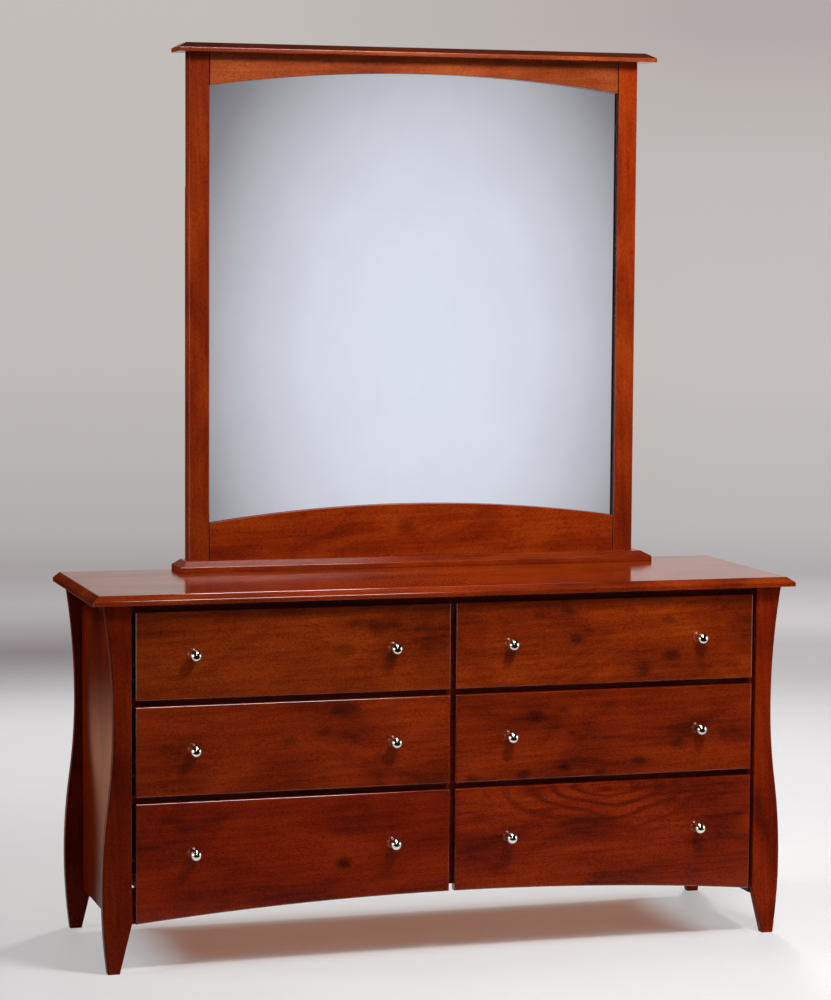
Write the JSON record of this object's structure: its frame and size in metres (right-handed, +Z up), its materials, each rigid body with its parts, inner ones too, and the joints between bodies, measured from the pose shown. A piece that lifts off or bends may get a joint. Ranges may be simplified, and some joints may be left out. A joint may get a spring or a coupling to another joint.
{
  "type": "dresser with mirror",
  "caption": "Long low dresser of stained hardwood with two columns of drawers, S-curved posts, an arched lower edge and a framed mirror standing on its top.",
  "frame": {"origin": "on the floor, at the middle of the whole object's width and depth", "axes": "+X to the right seen from the front, +Y to the back, +Z up"},
  "size_m": [1.524, 0.4958, 1.906],
  "materials": {
    "case_wood": "cherry stain under satin lacquer",
    "drawer_front_wood": "cherry stain under satin lacquer",
    "mirror_wood": "cherry stain under satin lacquer",
    "box_wood": "clear sealed",
    "hidden_wood": "plain sawn and sealed",
    "thin_board": "smooth thin board",
    "slide_steel": "zinc plated",
    "knob_metal": "polished nickel",
    "mirror_glass": "silvered float glass"
  },
  "bodies": {
    "dresser": {"post_front_left": "case_wood", "post_front_right": "case_wood", "post_back_left": "case_wood", "post_back_right": "case_wood", "side_panel_left": "case_wood", "side_panel_right": "case_wood", "top_board": "case_wood", "back_panel": "thin_board", "centre_partition": "case_wood", "front_rails": "case_wood", "back_rails": "hidden_wood", "slide_spacers": "case_wood", "cabinet_channels": "slide_steel", "mirror_stile_left": "mirror_wood", "mirror_stile_right": "mirror_wood", "mirror_top_rail": "mirror_wood", "mirror_bottom_rail": "mirror_wood", "mirror_cap": "mirror_wood", "mirror_base": "mirror_wood", "mirror_glass": "mirror_glass", "mirror_backing": "thin_board", "mirror_supports": "mirror_wood"},
    "upper_left_drawer": {"upper_left_drawer_front": "drawer_front_wood", "upper_left_drawer_box": "box_wood", "upper_left_drawer_bottom": "thin_board", "upper_left_drawer_knobs": "knob_metal", "upper_left_drawer_runners": "slide_steel"},
    "upper_left_slide_middles": {"upper_left_drawer_slide_middles": "slide_steel"},
    "upper_right_drawer": {"upper_right_drawer_front": "drawer_front_wood", "upper_right_drawer_box": "box_wood", "upper_right_drawer_bottom": "thin_board", "upper_right_drawer_knobs": "knob_metal", "upper_right_drawer_runners": "slide_steel"},
    "upper_right_slide_middles": {"upper_right_drawer_slide_middles": "slide_steel"},
    "middle_left_drawer": {"middle_left_drawer_front": "drawer_front_wood", "middle_left_drawer_box": "box_wood", "middle_left_drawer_bottom": "thin_board", "middle_left_drawer_knobs": "knob_metal", "middle_left_drawer_runners": "slide_steel"},
    "middle_left_slide_middles": {"middle_left_drawer_slide_middles": "slide_steel"},
    "middle_right_drawer": {"middle_right_drawer_front": "drawer_front_wood", "middle_right_drawer_box": "box_wood", "middle_right_drawer_bottom": "thin_board", "middle_right_drawer_knobs": "knob_metal", "middle_right_drawer_runners": "slide_steel"},
    "middle_right_slide_middles": {"middle_right_drawer_slide_middles": "slide_steel"},
    "lower_left_drawer": {"lower_left_drawer_front": "drawer_front_wood", "lower_left_drawer_box": "box_wood", "lower_left_drawer_bottom": "thin_board", "lower_left_drawer_knobs": "knob_metal", "lower_left_drawer_runners": "slide_steel"},
    "lower_left_slide_middles": {"lower_left_drawer_slide_middles": "slide_steel"},
    "lower_right_drawer": {"lower_right_drawer_front": "drawer_front_wood", "lower_right_drawer_box": "box_wood", "lower_right_drawer_bottom": "thin_board", "lower_right_drawer_knobs": "knob_metal", "lower_right_drawer_runners": "slide_steel"},
    "lower_right_slide_middles": {"lower_right_drawer_slide_middles": "slide_steel"}
  },
  "joints": [
    {"name": "upper_left_drawer_slide", "type": "slide", "parent": "dresser", "child": "upper_left_drawer", "axis": [0, -1, 0], "range_m": [0, 0.36]},
    {"name": "upper_left_middle_slide", "type": "slide", "parent": "dresser", "child": "upper_left_slide_middles", "axis": [0, -1, 0], "range_m": [0, 0.18]},
    {"name": "upper_right_drawer_slide", "type": "slide", "parent": "dresser", "child": "upper_right_drawer", "axis": [0, -1, 0], "range_m": [0, 0.36]},
    {"name": "upper_right_middle_slide", "type": "slide", "parent": "dresser", "child": "upper_right_slide_middles", "axis": [0, -1, 0], "range_m": [0, 0.18]},
    {"name": "middle_left_drawer_slide", "type": "slide", "parent": "dresser", "child": "middle_left_drawer", "axis": [0, -1, 0], "range_m": [0, 0.36]},
    {"name": "middle_left_middle_slide", "type": "slide", "parent": "dresser", "child": "middle_left_slide_middles", "axis": [0, -1, 0], "range_m": [0, 0.18]},
    {"name": "middle_right_drawer_slide", "type": "slide", "parent": "dresser", "child": "middle_right_drawer", "axis": [0, -1, 0], "range_m": [0, 0.36]},
    {"name": "middle_right_middle_slide", "type": "slide", "parent": "dresser", "child": "middle_right_slide_middles", "axis": [0, -1, 0], "range_m": [0, 0.18]},
    {"name": "lower_left_drawer_slide", "type": "slide", "parent": "dresser", "child": "lower_left_drawer", "axis": [0, -1, 0], "range_m": [0, 0.36]},
    {"name": "lower_left_middle_slide", "type": "slide", "parent": "dresser", "child": "lower_left_slide_middles", "axis": [0, -1, 0], "range_m": [0, 0.18]},
    {"name": "lower_right_drawer_slide", "type": "slide", "parent": "dresser", "child": "lower_right_drawer", "axis": [0, -1, 0], "range_m": [0, 0.36]},
    {"name": "lower_right_middle_slide", "type": "slide", "parent": "dresser", "child": "lower_right_slide_middles", "axis": [0, -1, 0], "range_m": [0, 0.18]}
  ],
  "couplings": [
    {"joint": "upper_left_middle_slide", "follows": "upper_left_drawer_slide", "ratio": 0.5},
    {"joint": "upper_right_middle_slide", "follows": "upper_right_drawer_slide", "ratio": 0.5},
    {"joint": "middle_left_middle_slide", "follows": "middle_left_drawer_slide", "ratio": 0.5},
    {"joint": "middle_right_middle_slide", "follows": "middle_right_drawer_slide", "ratio": 0.5},
    {"joint": "lower_left_middle_slide", "follows": "lower_left_drawer_slide", "ratio": 0.5},
    {"joint": "lower_right_middle_slide", "follows": "lower_right_drawer_slide", "ratio": 0.5}
  ]
}
